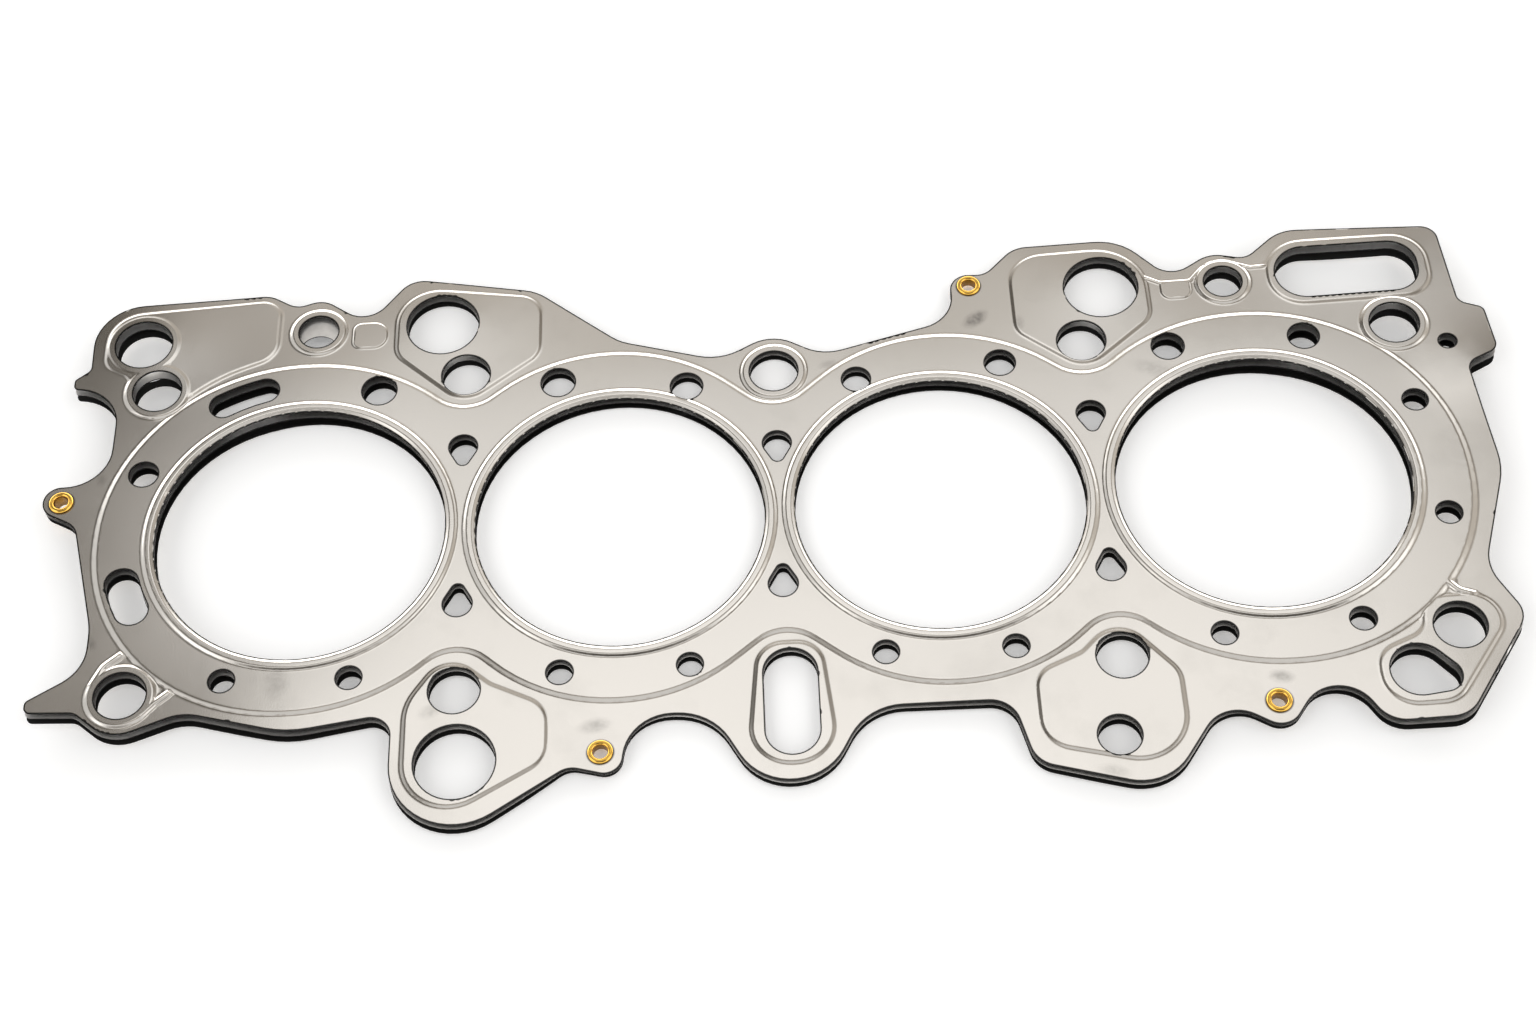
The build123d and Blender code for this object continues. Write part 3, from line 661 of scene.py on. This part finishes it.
def build_eyelet(node):
    """The eyelet turned on a lathe with a rolled collar, standing in the sprung sheets."""
    low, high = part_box(node)
    cx, cy = centre_of(node)
    foot = low.z / MM + lift("lower", cx, cy)
    top = high.z / MM + lift("upper", cx, cy)
    turns = [2 * math.pi * k / TURNS for k in range(TURNS)]
    bm = bmesh.new()
    rings = [[bm.verts.new(((cx + r * math.cos(t)) * MM, (cy + r * math.sin(t)) * MM, z * MM)) for t in turns]
             for r, z in eyelet_profile(foot, top)]
    for a, b in zip(rings, rings[1:] + rings[:1]):
        for k in range(TURNS):
            face = bm.faces.new([a[k], a[(k + 1) % TURNS], b[(k + 1) % TURNS], b[k]])
            face.smooth = True
            # the hole's inner wall takes the darker brass of painted shade
            face.material_index = 1 if rings[-1] in (a, b) else 0
    obj = new_object(node + "_rolled", bm)
    obj.data.materials.append(BRASS)
    obj.data.materials.append(BRASS_INSIDE_PAINTED_SHADE)
    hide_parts(node)
    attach(obj, "root")


for node in EYELETS:
    build_eyelet(node)

for node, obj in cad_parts.items():
    obj.data.materials.clear()
    obj.data.materials.append(BRASS if node.startswith("eyelet") else LOWER_STEEL)

# ---- floor ------------------------------------------------------------------------------

FLOOR_SIZE = 8.0
FLOOR_COLOR = (0.93, 0.93, 0.928, 1)
FLOOR_GLOW = 0.26            # brings the lit floor up to white where it is seen
SEEN_RAYS = ("Is Glossy Ray", "Is Transmission Ray")

bpy.ops.mesh.primitive_plane_add(size=FLOOR_SIZE, location=(0, 0, START_BOUNDS[0][2]))
floor = bpy.context.object
floor.name = "floor"
mat, nodes, links, shader = new_material("floor")
shader.inputs["Base Color"].default_value = FLOOR_COLOR
shader.inputs["Roughness"].default_value = 1.0
shader.inputs["Specular IOR Level"].default_value = 0.0
rays = nodes.new("ShaderNodeLightPath")
seen = rays.outputs["Is Camera Ray"]
for kind in SEEN_RAYS:
    seen = math_node(nodes, links, "MAXIMUM", seen, rays.outputs[kind])
shader.inputs["Emission Color"].default_value = (1, 1, 1, 1)
links.new(math_node(nodes, links, "MULTIPLY", seen, FLOOR_GLOW), shader.inputs["Emission Strength"])
floor.data.materials.append(mat)

# ---- sky --------------------------------------------------------------------------------

# Brightness against the angle above the far horizon, from 0 there over the top to 1 at
# the near one: in the middle, to the left and to the right. The levels are given.
MIDDLE_SKY = [
    (0.0, 3.4), (0.125, 3.4), (0.165, 0.9), (0.2, 0.55), (0.285, 0.5), (0.305, 0.78), (0.325, 0.98),
    (0.338, 1.17), (0.37, 1.17), (0.40, 1.1), (0.43, 0.42), (0.47, 0.4), (0.5, 0.75), (0.56, 0.85),
    (0.585, 0.3), (0.61, 0.07), (0.78, 0.07), (0.84, 1.2), (1.0, 1.6),
]
LEFT_SKY = [
    (0.0, 3.5), (0.14, 3.3), (0.2, 1.6), (0.26, 0.75), (0.34, 0.7), (0.45, 0.75), (0.52, 1.6),
    (0.8, 1.6), (1.0, 1.6),
]
RIGHT_SKY = [
    (0.0, 3.2), (0.15, 2.8), (0.22, 1.0), (0.32, 0.6), (0.38, 0.6), (0.46, 1.5), (0.8, 1.5), (1.0, 1.6),
]
# How the middle falls off to its sides, by the direction's X, and how far that applies
# at each angle.
SIDE = [
    (-1.0, 0.1), (-0.3, 0.15), (-0.215, 0.2), (-0.195, 0.3), (-0.178, 0.8), (-0.15, 1.05), (0.15, 1.0),
    (0.19, 0.85), (0.23, 0.4), (1.0, 0.3),
]
SIDE_AMOUNT = [(0.0, 0.0), (0.22, 0.2), (0.27, 1.0), (0.42, 1.0), (0.5, 0.0)]
SIDE_SKY_FROM = 0.4          # the left and right skies take over between these two,
SIDE_SKY_FULL = 0.55         # by the direction's X
WARM = (1.0, 0.94, 0.86)     # colour of the dimmer parts of the sky,
WARM_BELOW = 0.7             # which are those under this level


def warmed(stops):
    """The stops as colours, the dim ones warm."""
    return [(at, tuple(level * (c if level < WARM_BELOW else 1.0) for c in WARM)) for at, level in stops]


world = bpy.data.worlds.new("studio")
bpy.context.scene.world = world
world.use_nodes = True
nodes, links = world.node_tree.nodes, world.node_tree.links
separate = nodes.new("ShaderNodeSeparateXYZ")
links.new(nodes.new("ShaderNodeTexCoord").outputs["Generated"], separate.inputs[0])
across = separate.outputs["X"]
angle = math_node(nodes, links, "ARCTAN2", separate.outputs["Z"], separate.outputs["Y"])
angle = math_node(nodes, links, "DIVIDE", angle, math.pi)

glow = ramp(nodes, links, angle, warmed(MIDDLE_SKY))
place = math_node(nodes, links, "MULTIPLY_ADD", across, 0.5, 0.5)
side = ramp(nodes, links, place, warmed([((at + 1) / 2, level) for at, level in SIDE]))
amount = ramp(nodes, links, angle, SIDE_AMOUNT)
glow = mix_color(nodes, links, amount, glow, multiplied(nodes, links, glow, side))
for stops, sign in ((LEFT_SKY, -1), (RIGHT_SKY, 1)):
    outwards = math_node(nodes, links, "MULTIPLY", across, sign)
    reach = map_range(nodes, links, outwards, {"From Min": SIDE_SKY_FROM, "From Max": SIDE_SKY_FULL})
    sky = ramp(nodes, links, angle, warmed(stops))
    glow = mix_color(nodes, links, reach.outputs["Result"], glow, sky)
background = nodes["Background"]
links.new(glow, background.inputs["Color"])
background.inputs["Strength"].default_value = 1.0

# ---- camera -------------------------------------------------------------------------------

TOP_FLAT = 0.8 * MM          # flat top of the upper sheet in the frame
EYE = (0.00923, -0.34934, 0.5586466 + TOP_FLAT)
EYE_TURN = (31.935, 2.589, -2.0778)      # degrees about X, Y and Z
LENS = 54.97
SENSOR_W = 36.0
CLIP_START = 0.01

camera = bpy.data.cameras.new("camera")
camera.lens = LENS
camera.sensor_width = SENSOR_W
camera.clip_start = CLIP_START
eye = bpy.data.objects.new("camera", camera)
eye.location = EYE
eye.rotation_euler = [math.radians(turn) for turn in EYE_TURN]
bpy.context.scene.collection.objects.link(eye)
bpy.context.scene.camera = eye
bpy.context.scene.view_settings.view_transform = "Standard"
